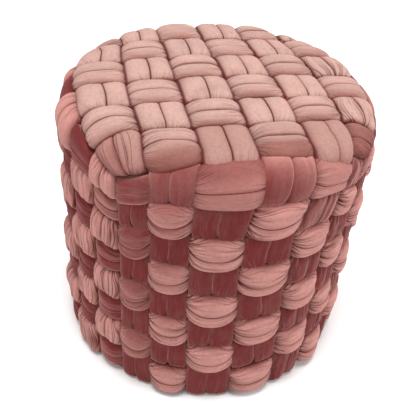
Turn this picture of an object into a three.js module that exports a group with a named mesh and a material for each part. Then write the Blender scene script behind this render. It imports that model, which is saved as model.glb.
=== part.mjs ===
// Braided pouf: a round drum covered by a plain weave of padded velvet strips.
// Six strips run front to back and six run left to right. They cross on the top,
// turn over the rim and run down the side, where eight hoops are woven through them.
// Each strip has two stuffed channels with a sewn line between them. The cover
// encloses one filled body whose flat underside is the base cloth.
// Millimetres, +Z up, +X to the right and -Y to the front. The origin is the centre
// of the underside.
import * as THREE from 'three';

// Outer sizes, over the crests of the strips
const HEIGHT = 368;
const SHOULDER_RADIUS = 193;
const FOOT_RADIUS = 196;
const WAIST_PULL = 1.5;
const FOOT_CURL = 3.5;
const FOOT_CURL_HEIGHT = 65;
const RIM_ROUNDING = 36;
const CROWN = 6;

// One strip, measured from the middle of the weave
const CREST = 17;
const CHANNEL_LINE = 11;
const PRESSED = 10;
const PRESSED_LINE = 2;
const GAP = 0.2;
const BODY_GAP = 0.9;

// The weave
const STRIPS_EACH_WAY = 6;
const HOOPS = 8;
const TOP_PITCH = 55.6;
const HOOP_PITCH = 42.7;
const LOWEST_HOOP_TOP = 56;
const STRIP_END_HEIGHT = 5;
const BASE_ROUNDING = 6;

// Angles between the middle of a side and the edges of its strips, middle to corner.
// The strips take up this spacing over the first hoops below the rim.
const STRIP_EDGE_ANGLES = [0, 16.8, 31.6, 45];
const EVEN_FROM_LEVEL = 2;

// At the corners of the square weave the top is pulled in and the upper hoops sag
const CORNER_PULL = 0.2;
const CORNER_SAG = 21;
const CORNER_SAG_DECAY = 0.5;

// The front rows of the top lean to the right, spread and lie closer together, in parts
// of a cell. The powers say how late the lean stops towards the sides, and how late the
// rows close up towards the front.
const FRONT_LEAN = 0.08;
const FRONT_SPREAD = 0.06;
const FRONT_SIDE_POWER = 4;
const FRONT_PULL = 0.2;
const FRONT_PULL_POWER = 1.5;

// The strip ends of the front are turned to the left, in degrees, over the first levels.
// Part of that turn is taken back further down.
const COLUMN_DRIFT = -3.6;
const COLUMN_DRIFT_DIRECTION = -106;
const COLUMN_DRIFT_WIDTH = 33;
const COLUMN_DRIFT_LEVELS = 2;
const COLUMN_RETURN = 0.6;
const COLUMN_RETURN_START = 3;
const COLUMN_RETURN_LEVELS = 5;

// The lower hoops were pulled up a little on the front right, and the hoops hang lower on
// the left
const HOOP_SWAY = 12;
const HOOP_SWAY_DIRECTION = -50;
const HOOP_SWAY_NARROWING = 6;
const LEFT_DROOP = 8;
const LEFT_DROOP_DIRECTION = -170;
const LEFT_DROOP_NARROWING = 4;
const LEFT_DROOP_LEVELS = 5;

// Parts of a cell, from 0 to 1, where a strip is shaped across and along its run
const EDGE_INSET = 0.08;
const CREST_INSET = 0.29;
const OVER_INSET = 0.14;
const UNDER_INSET = 0.08;

const COLUMNS = 4 * STRIPS_EACH_WAY;
const HALF_GRID = STRIPS_EACH_WAY / 2;
const MIDDLE_TOP = HEIGHT - CREST;
const RIM_RADIUS = RIM_ROUNDING - CREST;
const FLAT_RADIUS = SHOULDER_RADIUS - CREST - RIM_RADIUS;
const RIM_ARC = (RIM_RADIUS * Math.PI) / 2;
const MIDDLE_OF_POUF = new THREE.Vector3(0, 0, HEIGHT / 2);
const radians = THREE.MathUtils.degToRad;

// Radius of the middle of the weave on the side, at a height above the floor
function sideRadius(height) {
  const depth = 1 - height / HEIGHT;
  const pull = 4 * WAIST_PULL * depth * (1 - depth);
  const curl = FOOT_CURL * Math.max(1 - height / FOOT_CURL_HEIGHT, 0) ** 2;
  return SHOULDER_RADIUS - CREST + (FOOT_RADIUS - SHOULDER_RADIUS) * depth - pull - curl;
}

// Point of the middle surface, by its angle and its way down from the centre of the top
function pointOnTop(angle, way) {
  const bend = Math.min(Math.max(way - FLAT_RADIUS, 0), RIM_ARC) / RIM_RADIUS;
  const flat = Math.min(way, FLAT_RADIUS);
  const below = Math.max(way - FLAT_RADIUS - RIM_ARC, 0);
  const radius = flat + RIM_RADIUS * Math.sin(bend);
  const crownDrop = CROWN * (flat / FLAT_RADIUS) ** 2;
  const height = MIDDLE_TOP - crownDrop - RIM_RADIUS * (1 - Math.cos(bend)) - below;
  return new THREE.Vector3(radius * Math.cos(angle), radius * Math.sin(angle), height);
}

// Rises from 0 to 1 with level ends
function smooth(value) {
  const share = THREE.MathUtils.clamp(value, 0, 1);
  return share * share * (3 - 2 * share);
}

// The same angle between half a turn back and half a turn on
function wrap(angle) {
  return THREE.MathUtils.euclideanModulo(angle + Math.PI, 2 * Math.PI) - Math.PI;
}

// How much of a leaning part faces a direction: 1 straight on, and 0 from the side
function facing(angle, direction, narrowing) {
  return Math.max(Math.cos(angle - radians(direction)), 0) ** narrowing;
}

// Corner of a top cell, as its angle and its way down from the centre of the top. The
// grid leans, spreads and closes up at the front, and its four corners are pulled in.
function topPlace(column, row) {
  const front = smooth((HALF_GRID - row) / (HALF_GRID + 1));
  const inner = 1 - (column / HALF_GRID) ** FRONT_SIDE_POWER;
  const i = column + (FRONT_LEAN + FRONT_SPREAD * column) * front * inner;
  const j = row + FRONT_PULL * Math.max(-row / HALF_GRID, 0) ** FRONT_PULL_POWER;
  const pull = CORNER_PULL * ((i * j) / HALF_GRID ** 2) ** 2;
  return { angle: Math.atan2(j, i), way: TOP_PITCH * Math.hypot(i, j) * (1 - pull) };
}

function topPoint(column, row) {
  const { angle, way } = topPlace(column, row);
  return pointOnTop(angle, way);
}

// Height of the edge below a hoop. The corner share is 0 at the middle of a side and 1
// at a corner of the square weave.
function levelHeight(level, angle, cornerShare) {
  if (level === HOOPS) return STRIP_END_HEIGHT;
  const even = LOWEST_HOOP_TOP + (HOOPS - 1 - level) * HOOP_PITCH;
  const sag = CORNER_SAG * CORNER_SAG_DECAY ** (level - 1) * cornerShare ** 3;
  const sway = (level / HOOPS) ** 2 * facing(angle, HOOP_SWAY_DIRECTION, HOOP_SWAY_NARROWING);
  const left = facing(angle, LEFT_DROOP_DIRECTION, LEFT_DROOP_NARROWING);
  const droop = left * smooth((HOOPS - level) / LEFT_DROOP_LEVELS);
  return even - sag + HOOP_SWAY * sway - LEFT_DROOP * droop;
}

// Turn of the strip ends of the front, in radians: full after the first levels, and
// partly taken back further down
function columnDrift(angle, level) {
  const off = wrap(angle - radians(COLUMN_DRIFT_DIRECTION)) / radians(COLUMN_DRIFT_WIDTH);
  const turned = smooth(level / COLUMN_DRIFT_LEVELS);
  const back = COLUMN_RETURN * smooth((level - COLUMN_RETURN_START) / COLUMN_RETURN_LEVELS);
  return radians(COLUMN_DRIFT) * Math.exp(-(off ** 2)) * turned * (1 - back);
}

// Corner of a side cell, by its side (0 front, 1 right, 2 back, 3 left), its step from
// the middle of that side, and its level
function sidePoint(side, step, level) {
  const middle = radians(-90 + 90 * side);
  const edges = [
    [step, -HALF_GRID],
    [HALF_GRID, step],
    [-step, HALF_GRID],
    [-HALF_GRID, -step],
  ];
  const gridTurn = wrap(topPlace(...edges[side]).angle - middle);
  const evenTurn = radians(Math.sign(step) * STRIP_EDGE_ANGLES[Math.abs(step)]);
  const share = Math.min(level / EVEN_FROM_LEVEL, 1);
  const turn = THREE.MathUtils.lerp(gridTurn, evenTurn, share);
  const angle = middle + turn + columnDrift(middle + turn, level);
  const height = levelHeight(level, angle, Math.abs(turn) / radians(45));
  const radius = sideRadius(height);
  return new THREE.Vector3(radius * Math.cos(angle), radius * Math.sin(angle), height);
}

// A knot is a corner where cells of the weave meet. Its reach is the step outwards that
// rises by 1 over the cells around it.
function makeKnot(point) {
  return { point, normals: [], reach: new THREE.Vector3() };
}

const topKnots = [];
for (let row = 0; row <= STRIPS_EACH_WAY; row += 1) {
  topKnots.push([]);
  for (let column = 0; column <= STRIPS_EACH_WAY; column += 1) {
    topKnots[row].push(makeKnot(topPoint(column - HALF_GRID, row - HALF_GRID)));
  }
}

// Rings of knots down the side. The first ring is the edge of the top, counterclockwise
// from its front left corner.
const sideKnots = [[]];
for (let n = 0; n < STRIPS_EACH_WAY; n += 1) sideKnots[0].push(topKnots[0][n]);
for (let n = 0; n < STRIPS_EACH_WAY; n += 1) sideKnots[0].push(topKnots[n][STRIPS_EACH_WAY]);
for (let n = STRIPS_EACH_WAY; n > 0; n -= 1) sideKnots[0].push(topKnots[STRIPS_EACH_WAY][n]);
for (let n = STRIPS_EACH_WAY; n > 0; n -= 1) sideKnots[0].push(topKnots[n][0]);
for (let level = 1; level <= HOOPS; level += 1) {
  sideKnots.push([]);
  for (let edge = 0; edge < COLUMNS; edge += 1) {
    const side = Math.floor(edge / STRIPS_EACH_WAY);
    const step = (edge % STRIPS_EACH_WAY) - HALF_GRID;
    sideKnots[level].push(makeKnot(sidePoint(side, step, level)));
  }
}

// A cell has its knots counterclockwise from outside, starting at its lower left
function topCell(row, column) {
  const [front, back] = [topKnots[row], topKnots[row + 1]];
  return [front[column], front[column + 1], back[column + 1], back[column]];
}

function sideCell(column, hoop) {
  const [upper, lower] = [sideKnots[hoop - 1], sideKnots[hoop]];
  const next = (column + 1) % COLUMNS;
  return [lower[column], lower[next], upper[next], upper[column]];
}

const cells = [];
for (let row = 0; row < STRIPS_EACH_WAY; row += 1) {
  for (let column = 0; column < STRIPS_EACH_WAY; column += 1) cells.push(topCell(row, column));
}
for (let hoop = 1; hoop <= HOOPS; hoop += 1) {
  for (let column = 0; column < COLUMNS; column += 1) cells.push(sideCell(column, hoop));
}

for (const cell of cells) {
  const [a, b, c, d] = cell.map(({ point }) => point);
  const diagonal = new THREE.Vector3().subVectors(c, a);
  const normal = diagonal.cross(new THREE.Vector3().subVectors(d, b)).normalize();
  cell.forEach(({ normals }) => normals.push(normal));
}
for (const { normals, reach } of new Set(cells.flat())) {
  normals.forEach((normal) => reach.add(normal));
  reach.normalize();
  reach.divideScalar(Math.min(...normals.map((normal) => normal.dot(reach))));
}

function pointOver({ point, reach }, height) {
  return point.clone().addScaledVector(reach, height);
}

// Place in a cell for each way that a strip can cross it. The first value is the part
// across the strip from its left edge, the second the part along it.
const CROSSINGS = {
  up: (across, along) => [across, along],
  down: (across, along) => [1 - across, 1 - along],
  rightward: (across, along) => [along, 1 - across],
};

function pointInCell(cell, crossing, across, along, height) {
  const [s, t] = CROSSINGS[crossing](across, along);
  const [a, b, c, d] = cell.map((knot) => pointOver(knot, height));
  return a.lerp(b, s).lerp(d.lerp(c, s), t);
}

// Section of a strip: edge, crest, sewn line, crest, edge. The underside is flat.
const OVER_SECTION = [
  { across: EDGE_INSET, height: GAP },
  { across: CREST_INSET, height: CREST },
  { across: 0.5, height: CHANNEL_LINE },
  { across: 1 - CREST_INSET, height: CREST },
  { across: 1 - EDGE_INSET, height: GAP },
];
const UNDER_SECTION = [
  { across: EDGE_INSET, height: -PRESSED },
  { across: CREST_INSET, height: -GAP },
  { across: 0.5, height: -PRESSED_LINE },
  { across: 1 - CREST_INSET, height: -GAP },
  { across: 1 - EDGE_INSET, height: -PRESSED },
];
// Halfway between passing over and passing under, where a strip turns over the rim
const RIM_SECTION = OVER_SECTION.map(({ across, height }, n) => ({
  across,
  height: (height + UNDER_SECTION[n].height) / 2,
}));
const SECTION_POINTS = OVER_SECTION.length;
const LINE_POINT = 2;

function sectionInCell(cell, crossing, section, along) {
  return section.map(({ across, height }) => pointInCell(cell, crossing, across, along, height));
}

// Sections of a strip over its run of cells, two to a cell
function runSections(run) {
  return run.flatMap(({ cell, crossing, over }) => {
    const section = over ? OVER_SECTION : UNDER_SECTION;
    const inset = over ? OVER_INSET : UNDER_INSET;
    return [inset, 1 - inset].map((along) => sectionInCell(cell, crossing, section, along));
  });
}

// Two triangles over four corners. Where these aren't in one plane, the fold between the
// triangles bulges away from the middle of the pouf, or towards it.
function quad(points, [a, b, c, d], bulgesOutwards) {
  const between = (p, q) => points[p].clone().add(points[q]).multiplyScalar(0.5);
  const distance = (p, q) => between(p, q).distanceTo(MIDDLE_OF_POUF);
  const firstIsFarther = distance(a, c) > distance(b, d);
  if (firstIsFarther === bulgesOutwards) return [a, b, c, a, c, d];
  return [a, b, d, b, c, d];
}

// Skin between neighbouring sections, closed into a loop or capped at both ends
function loft(sections, closed) {
  const points = sections.flat();
  const indices = [];
  const joints = closed ? sections.length : sections.length - 1;
  for (let n = 0; n < joints; n += 1) {
    const here = n * SECTION_POINTS;
    const next = ((n + 1) % sections.length) * SECTION_POINTS;
    for (let p = 0; p < SECTION_POINTS; p += 1) {
      const q = (p + 1) % SECTION_POINTS;
      indices.push(...quad(points, [here + p, here + q, next + q, next + p], true));
    }
  }
  if (!closed) {
    const last = (sections.length - 1) * SECTION_POINTS;
    for (let p = LINE_POINT + 1; p < LINE_POINT + SECTION_POINTS - 1; p += 1) {
      const q = p % SECTION_POINTS;
      const r = (p + 1) % SECTION_POINTS;
      indices.push(LINE_POINT, r, q);
      indices.push(last + LINE_POINT, last + q, last + r);
    }
  }
  return makeGeometry(points, indices);
}

function makeGeometry(points, indices) {
  const geometry = new THREE.BufferGeometry();
  geometry.setFromPoints(points);
  geometry.setIndex(indices);
  geometry.computeVertexNormals();
  return geometry;
}

// A hoop lies over every second column, and neighbouring hoops take turns
function hoopIsOver(column, hoop) {
  return (column + hoop) % 2 === 1;
}

// Cells that a strip crosses on one side, from the rim down
function sideRun(column, crossing) {
  const run = [];
  for (let hoop = 1; hoop <= HOOPS; hoop += 1) {
    run.push({ cell: sideCell(column, hoop), crossing, over: !hoopIsOver(column, hoop) });
  }
  return crossing === 'up' ? run.reverse() : run;
}

// Sections of a strip that climbs one side, crosses the top and runs down the other
// side. It ends in a flat, pressed section at each foot.
function archStrip(climb, top, descent) {
  const start = climb[0];
  const end = descent[descent.length - 1];
  const sections = [
    sectionInCell(start.cell, start.crossing, UNDER_SECTION, 0),
    ...runSections(climb),
    sectionInCell(top[0].cell, top[0].crossing, RIM_SECTION, 0),
    ...runSections(top),
    sectionInCell(descent[0].cell, descent[0].crossing, RIM_SECTION, 0),
    ...runSections(descent),
    sectionInCell(end.cell, end.crossing, UNDER_SECTION, 1),
  ];
  return loft(sections, false);
}

// Strip that runs from the foot of the back over the top to the foot of the front
function lengthwiseStrip(column) {
  const backColumn = 3 * STRIPS_EACH_WAY - 1 - column;
  const top = [];
  for (let row = STRIPS_EACH_WAY - 1; row >= 0; row -= 1) {
    top.push({ cell: topCell(row, column), crossing: 'down', over: (row + column) % 2 === 0 });
  }
  return archStrip(sideRun(backColumn, 'up'), top, sideRun(column, 'down'));
}

// Strip that runs from the foot of the left side over the top to the foot of the right
function crosswiseStrip(row) {
  const leftColumn = COLUMNS - 1 - row;
  const rightColumn = STRIPS_EACH_WAY + row;
  const top = [];
  for (let column = 0; column < STRIPS_EACH_WAY; column += 1) {
    top.push({ cell: topCell(row, column), crossing: 'rightward', over: (row + column) % 2 === 1 });
  }
  return archStrip(sideRun(leftColumn, 'up'), top, sideRun(rightColumn, 'down'));
}

// Closed hoop around the side
function hoopStrip(hoop) {
  const run = [];
  for (let column = 0; column < COLUMNS; column += 1) {
    run.push({
      cell: sideCell(column, hoop),
      crossing: 'rightward',
      over: hoopIsOver(column, hoop),
    });
  }
  return loft(runSections(run), true);
}

// The filled body: the inner side of the weave, closed by the flat base cloth
function filledBody() {
  const points = [];
  const indices = [];
  const places = new Map();
  for (const knot of new Set(cells.flat())) {
    places.set(knot, points.length);
    points.push(pointOver(knot, -PRESSED - BODY_GAP));
  }
  for (const cell of cells) {
    indices.push(...quad(points, cell.map((knot) => places.get(knot)), false));
  }

  const lowest = sideKnots[HOOPS].map((knot) => places.get(knot));
  const foot = lowest.map((place) => {
    const { x, y } = points[place];
    const radius = Math.hypot(x, y);
    const share = (radius - BASE_ROUNDING) / radius;
    return points.push(new THREE.Vector3(x * share, y * share, 0)) - 1;
  });
  const centre = points.push(new THREE.Vector3()) - 1;
  for (let edge = 0; edge < COLUMNS; edge += 1) {
    const next = (edge + 1) % COLUMNS;
    indices.push(...quad(points, [foot[edge], foot[next], lowest[next], lowest[edge]], false));
    indices.push(centre, foot[next], foot[edge]);
  }
  return makeGeometry(points, indices);
}

const velvet = () => new THREE.MeshStandardMaterial({ color: 0xb8827a, roughness: 0.9, metalness: 0 });
const baseCloth = () => new THREE.MeshStandardMaterial({ color: 0x6f4643, roughness: 0.95, metalness: 0 });

function namedMesh(name, geometry, material) {
  const mesh = new THREE.Mesh(geometry, material);
  mesh.name = name;
  return mesh;
}

const pouf = new THREE.Group();
pouf.add(namedMesh('filled_body', filledBody(), baseCloth()));
for (let n = 0; n < STRIPS_EACH_WAY; n += 1) {
  pouf.add(namedMesh(`lengthwise_strip_${n + 1}`, lengthwiseStrip(n), velvet()));
  pouf.add(namedMesh(`crosswise_strip_${n + 1}`, crosswiseStrip(n), velvet()));
}
for (let hoop = 1; hoop <= HOOPS; hoop += 1) {
  pouf.add(namedMesh(`hoop_${hoop}`, hoopStrip(hoop), velvet()));
}

export default pouf;
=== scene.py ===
"""Braided pouf: padded velvet strips woven over a filled drum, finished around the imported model.

Six strips run front to back and six run left to right. They cross on the top, turn over the
rim and run down the side, where eight hoops are woven through them. Each strip has two
stuffed channels with a sewn line between them. Metres, +Z up, -Y to the front.
"""

import math

import bpy
import numpy as np
from mathutils import Matrix, Vector


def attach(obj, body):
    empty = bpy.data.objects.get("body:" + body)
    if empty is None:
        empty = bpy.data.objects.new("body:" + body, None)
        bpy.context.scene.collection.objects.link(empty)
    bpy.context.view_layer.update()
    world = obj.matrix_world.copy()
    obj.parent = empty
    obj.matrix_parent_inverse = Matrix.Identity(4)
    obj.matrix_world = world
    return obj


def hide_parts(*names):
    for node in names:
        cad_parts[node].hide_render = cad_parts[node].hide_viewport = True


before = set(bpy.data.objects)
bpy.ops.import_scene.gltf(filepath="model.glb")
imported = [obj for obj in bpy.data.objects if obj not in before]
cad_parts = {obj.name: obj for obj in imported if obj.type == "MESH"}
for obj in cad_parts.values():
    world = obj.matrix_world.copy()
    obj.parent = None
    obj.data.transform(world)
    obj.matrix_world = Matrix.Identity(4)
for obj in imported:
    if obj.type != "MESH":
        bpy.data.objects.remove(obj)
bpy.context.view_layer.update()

MM = 0.001

# The drum, measured over the crests of its strips. CREST is how far these stand above the
# middle of the weave.
HEIGHT = 368 * MM
SHOULDER_RADIUS = 193 * MM
FOOT_RADIUS = 196 * MM
WAIST_PULL = 1.5 * MM
FOOT_CURL = 3.5 * MM
FOOT_CURL_HEIGHT = 65 * MM
RIM_ROUNDING = 36 * MM
CROWN = 6 * MM
CREST = 17 * MM

# The weave. The strips end at the height STRIP_END.
STRIPS = 6
HOOPS = 8
TOP_PITCH = 55.6 * MM
HOOP_PITCH = 42.7 * MM
LOWEST_HOOP_TOP = 56 * MM
STRIP_END = 1 * MM

# Angles between the middle of a side and the edges of its strips, from the middle to the
# corner, in degrees. The strips take up this spacing over the first levels.
STRIP_EDGE_ANGLES = (0, 16.8, 31.6, 45)
EVEN_FROM_LEVEL = 2

# At the corners of the square weave the top is pulled in and the upper hoops sag
CORNER_PULL = 0.2
CORNER_SAG = 21 * MM
CORNER_SAG_DECAY = 0.5

# The front rows of the top lean to the right, spread and lie closer together, in parts of
# a cell. The powers say how late this stops towards the sides and starts to the front.
FRONT_LEAN = 4.5 * MM / TOP_PITCH
FRONT_SPREAD = 3.5 * MM / TOP_PITCH
FRONT_SIDE_POWER = 4
FRONT_PULL = 0.2
FRONT_PULL_POWER = 1.5

# The strip ends of the front are turned to the left over the first levels. Part of that
# turn is taken back further down.
COLUMN_DRIFT = math.radians(-3.6)
COLUMN_DRIFT_DIRECTION = math.radians(-106)
COLUMN_DRIFT_WIDTH = math.radians(33)
COLUMN_DRIFT_LEVELS = 2
COLUMN_RETURN = 0.6
COLUMN_RETURN_START = 3
COLUMN_RETURN_LEVELS = 5

# The lower hoops were pulled up a little on the front right, and the hoops hang lower on
# the left
HOOP_SWAY = 12 * MM
HOOP_SWAY_DIRECTION = math.radians(-50)
HOOP_SWAY_NARROWING = 6
LEFT_DROOP = 8 * MM
LEFT_DROOP_DIRECTION = math.radians(-170)
LEFT_DROOP_NARROWING = 4
LEFT_DROOP_LEVELS = 5

HALF = STRIPS / 2
COLUMNS = 4 * STRIPS
MIDDLE_TOP = HEIGHT - CREST
CROWN_SLOPE = 2 * CROWN / (SHOULDER_RADIUS - RIM_ROUNDING)
RIM_RADIUS = (RIM_ROUNDING - CREST) / (1 - CROWN_SLOPE)
FLAT_RADIUS = SHOULDER_RADIUS - RIM_ROUNDING
RIM_WAY = (RIM_ROUNDING - CREST) * math.pi / 2
WALL_TOP = MIDDLE_TOP - CROWN - RIM_RADIUS


def smooth(share):
    """Rises from 0 to 1 with level ends."""
    share = np.clip(share, 0, 1)
    return share * share * (3 - 2 * share)


def ramp(value, start, end):
    """Rises straight from 0 at the start to 1 at the end."""
    return np.clip((value - start) / (end - start), 0, 1)


def wrapped(angle):
    """The same angle between half a turn back and half a turn on."""
    return (angle + math.pi) % (2 * math.pi) - math.pi


def surface(angle, way):
    """Point and outward normal on the middle of the weave, at an angle round the drum and a
    way down from the centre of the top: a flat parabola, then almost a quarter circle at
    the rim, then a wall whose radius grows to the foot, is drawn in halfway, and curls in
    with the square of the way below FOOT_CURL_HEIGHT."""
    flat = np.clip(way, 0, FLAT_RADIUS)
    bend_start = math.atan(CROWN_SLOPE)
    turned = np.clip((way - FLAT_RADIUS) / RIM_WAY, 0, 1)
    bend = bend_start + (math.pi / 2 - bend_start) * turned
    below = np.clip(way - FLAT_RADIUS - RIM_WAY, 0, None)

    height = MIDDLE_TOP - CROWN * (flat / FLAT_RADIUS) ** 2
    height = height - RIM_RADIUS * (math.cos(bend_start) - np.cos(bend)) - below
    depth = below / WALL_TOP
    curl = np.clip(1 - (WALL_TOP - below) / FOOT_CURL_HEIGHT, 0, None)
    wall = (FOOT_RADIUS - SHOULDER_RADIUS) * depth - 4 * WAIST_PULL * depth * (1 - depth)
    wall = wall - FOOT_CURL * curl**2
    wall_slope = (FOOT_RADIUS - SHOULDER_RADIUS - 4 * WAIST_PULL * (1 - 2 * depth)) / WALL_TOP
    wall_slope = wall_slope - 2 * FOOT_CURL * curl / FOOT_CURL_HEIGHT
    radius = flat + RIM_RADIUS * (np.sin(bend) - math.sin(bend_start)) + wall

    tilt = np.where(turned > 0, bend, np.arctan(2 * CROWN * flat / FLAT_RADIUS**2))
    tilt = tilt - np.where(below > 0, np.arctan(wall_slope), 0)
    x, y = np.cos(angle), np.sin(angle)
    point = np.stack(np.broadcast_arrays(radius * x, radius * y, height), -1)
    out = np.sin(tilt)
    normal = np.stack(np.broadcast_arrays(out * x, out * y, np.cos(tilt)), -1)
    return point, normal


def way_at_height(height):
    """Way down from the centre of the top to a height on the wall."""
    return FLAT_RADIUS + RIM_WAY + WALL_TOP - height


def top_place(i, j):
    """Angle and way of a place on the top, given in strips from its middle. Its columns
    lean to the right and spread, most of all in front and away from the sides, and the
    front rows lie closer together. The distance from the middle is drawn in towards the
    four corners of the weave."""
    front = smooth((HALF - j) / (HALF + 1))
    inner = np.clip(1 - (i / HALF) ** FRONT_SIDE_POWER, 0, 1)
    i = i + (FRONT_LEAN + FRONT_SPREAD * i) * front * inner
    j = j + FRONT_PULL * np.clip(-j / HALF, 0, 1) ** FRONT_PULL_POWER
    pull = CORNER_PULL * (i * j / HALF**2) ** 2
    return np.arctan2(j, i), TOP_PITCH * np.hypot(i, j) * (1 - pull)


def hoop_height(angle, turn, level):
    """Height of a level on the wall. The lowest hoop reaches from LOWEST_HOOP_TOP to the
    ends of the strips, and the hoops above it are HOOP_PITCH apart. They sag with the
    cube of the turn towards a corner, half as much with each level, hang low on the left
    and are pulled up on the front right. Over the lowest hoop this fades out."""
    even = LOWEST_HOOP_TOP + (HOOPS - 1 - level) * HOOP_PITCH
    last = LOWEST_HOOP_TOP + (STRIP_END - LOWEST_HOOP_TOP) * (level - HOOPS + 1)
    even = np.where(level > HOOPS - 1, last, even)
    corner_share = np.abs(turn) / math.radians(45)
    sag = CORNER_SAG * CORNER_SAG_DECAY ** (level - 1) * corner_share**3
    left = np.clip(np.cos(angle - LEFT_DROOP_DIRECTION), 0, 1) ** LEFT_DROOP_NARROWING
    sag = sag + LEFT_DROOP * left * smooth((HOOPS - level) / LEFT_DROOP_LEVELS)
    facing = np.clip(np.cos(angle - HOOP_SWAY_DIRECTION), 0, 1)
    sway = HOOP_SWAY * (level / HOOPS) ** 2 * facing**HOOP_SWAY_NARROWING
    return even + (sway - sag) * np.clip(HOOPS - level, 0, 1)


def side_place(column, level):
    """Angle and way of a place on the side: its column, counted counterclockwise from the
    front left corner, and its level in hoops below the top. Level 0 is the edge of the
    top. The angles even out over the first two levels."""
    side = np.floor(column / STRIPS)
    step = column - side * STRIPS - HALF
    far = np.full_like(step, HALF)
    number = (side % 4).astype(int)
    i = np.choose(number, [step, far, -step, -far])
    j = np.choose(number, [-far, step, far, -step])
    grid_angle, edge_way = top_place(i, j)
    middle = math.radians(90) * (side - 1)
    grid_turn = wrapped(grid_angle - middle)
    even_turn = np.sign(step) * np.radians(np.interp(np.abs(step), range(4), STRIP_EDGE_ANGLES))
    turn = grid_turn + (even_turn - grid_turn) * np.clip(level / EVEN_FROM_LEVEL, 0, 1)
    angle = turn + middle

    off = wrapped(angle - COLUMN_DRIFT_DIRECTION)
    drift = COLUMN_DRIFT * np.exp(-((off / COLUMN_DRIFT_WIDTH) ** 2))
    drift = drift * smooth(level / COLUMN_DRIFT_LEVELS)
    given_back = smooth((level - COLUMN_RETURN_START) / COLUMN_RETURN_LEVELS)
    angle = angle + drift * (1 - COLUMN_RETURN * given_back)

    wall_way = way_at_height(hoop_height(angle, turn, np.maximum(level, 1)))
    way = np.where(level < 1, edge_way + (wall_way - edge_way) * level, wall_way)
    return angle, way


# Style of a strip. The first six measures have a value at the turns, one where the strip
# passes over and one where it passes under. crest, line (the sewn line), edge and bottom
# are heights in millimetres from the middle of the weave. width, and rise, which is how far
# the strip is moved across, are in parts of a cell.
# past is how far the upper run reaches beyond the cell at its start and end, square how
# square that run is, dome how much of the height of its channels is a soft dome and not a
# steep side, pinch how narrow they get at the turns, and shift where the sewn line lies
# across. Creases and pleats are a number and a depth in millimetres. notch is how deep in
# millimetres the sewn line opens into a wedge at the end of the run, and bow how crooked
# the line is. gather says how little the gathers fan out, how strong they are at the start
# and at the end, and how far they reach. light is 1 on the top, which is painted palest, as
# painted light from above and painted sheen. squarely is 1 where cloth that faces the
# viewer squarely gets deeper painted shade, and deep adds to the painted shade of the pile,
# evenly and towards one edge; below 0 it paints the pile paler, as painted sheen.

# Strips on the side
FRONT_STRIP = {
    "crest": (5, 13.5, -1.5),
    "line": (-2, 11.2, -3),
    "edge": (2, 6, -5.5),
    "bottom": (-8, -1.5, -9.6),
    "width": (0.97, 1.0, 0.86),
    "rise": (0, 0, 0),
    "past": (0.11, 0.11),
    "square": 7,
    "dome": 0.25,
    "pinch": 0.3,
    "shift": 0,
    "start_creases": (1, 0.7),
    "end_creases": (3, 1.0),
    "pleats": (1, 0.6),
    "notch": 1.3,
    "bow": 0.08,
    "gather": (0.9, 0.15, 0.6, 0.4),
    "light": 0,
    "squarely": 0,
    "deep": (0, 0),
}
RIGHT_STRIP = FRONT_STRIP | {
    "crest": (5, 16, -1.5),
    "line": (-2, 12, -3),
    "square": 4,
    "dome": 0.6,
    "start_creases": (3, 1.2),
    "end_creases": (3, 1.2),
    "pleats": (4, 1.3),
    "notch": 0,
    "gather": (1.2, 1, 1, 2),
    "deep": (-0.03, 0),
}
LEFT_STRIP = FRONT_STRIP | {
    "crest": (7, 21, -1.5),
    "line": (3, 18, -3),
    "width": (0.92, 1.1, 0.86),
    "square": 3,
    "dome": 0.6,
    "start_creases": (3, 1.0),
    "end_creases": (3, 1.0),
    "pleats": (3, 0.9),
    "notch": 0,
    "gather": (1.2, 0.45, 0.45, 2),
}
LEFT_RIM_STRIP = LEFT_STRIP | {"pleats": (0, 0), "gather": (0.8, 0.3, 0.5, 0.4)}
# Strips through the first hoop: the pale ones get less painted shade of the pile.
PALE_RIM_STRIP = FRONT_STRIP | {"deep": (-0.2, 0), "dome": 0.4}
DEEP_RIM_STRIP = FRONT_STRIP | {"dome": 0.4}

# Strips on the top
TOP_LENGTHWISE = FRONT_STRIP | {
    "crest": (5, 18, -1.5),
    "line": (-1, 15, -3),
    "edge": (2, 4, -5.5),
    "width": (0.97, 1.02, 0.86),
    "past": (0.08, 0.08),
    "square": 5,
    "dome": 0.4,
    "shift": -0.04,
    "start_creases": (1, 0.4),
    "end_creases": (1, 0.4),
    "pleats": (0, 0),
    "notch": 0,
    "bow": 0.02,
    "gather": (0.7, 0.15, 0.3, 0.3),
    "light": 1,
    "squarely": 1,
}
TOP_FRONT = TOP_LENGTHWISE | {"past": (0.08, 0.24), "deep": (0.45, 0)}
TOP_CROSSWISE = TOP_LENGTHWISE | {
    "crest": (5, 19.5, -1.5),
    "line": (0, 15.5, -3),
    "width": (0.8, 1.06, 0.8),
    "square": 3,
    "dome": 0.5,
    "shift": 0.04,
    "start_creases": (2, 0.9),
    "end_creases": (3, 1.3),
    "gather": (0.5, 0.4, 0.8, 0.3),
    "deep": (-0.1, 0.28),
}
TOP_EDGE = TOP_CROSSWISE | {
    "crest": (6, 21, -1.5),
    "width": (0.9, 1.16, 0.8),
    "rise": (0.05, 0.05, 0),
    "start_creases": (4, 1.5),
    "gather": (0.5, 0.6, 0.4, 0.35),
    "squarely": 0.3,
    "deep": (0.15, 0.8),
}
TOP_CORNER = TOP_LENGTHWISE | {
    "line": (-1, 16, -3),
    "end_creases": (5, 0.8),
    "gather": (0.8, 0.2, 0.8, 0.55),
}
TOP_LEFT_CORNER = TOP_CORNER | {"deep": (0.45, 0), "gather": (0.8, 0.5, 1, 0.7)}
TOP_RIGHT_CORNER = TOP_CORNER | {"width": (0.85, 0.9, 0.8), "past": (0, 0), "deep": (0.3, 0)}

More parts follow.
